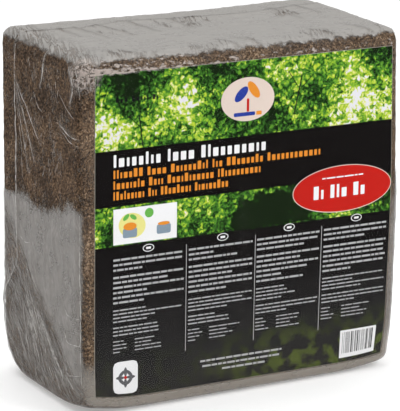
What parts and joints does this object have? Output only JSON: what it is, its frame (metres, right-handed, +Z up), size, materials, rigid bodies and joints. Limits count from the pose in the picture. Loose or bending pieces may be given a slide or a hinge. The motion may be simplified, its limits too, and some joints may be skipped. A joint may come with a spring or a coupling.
{
  "type": "film-wrapped potting soil block",
  "caption": "Square pressed block of coir potting soil, standing on a narrow side, with a printed sheet on its front, wrapped tight in clear shrink film.",
  "frame": {"origin": "middle of the underside, on the surface that the block stands on", "axes": "+Z up, -Y out of the labelled front, +X to the right as seen from the front"},
  "size_m": [0.307, 0.1603, 0.3025],
  "materials": {
    "pressed_coir": "pressed coir fibre and dust, matt",
    "label_print": "printed, smooth",
    "clear_film": "clear shrink film, glossy, hazy where it is gathered"
  },
  "bodies": {
    "root": {"coir_block": "pressed_coir", "front_label": "label_print", "shrink_film": "clear_film"}
  },
  "joints": []
}
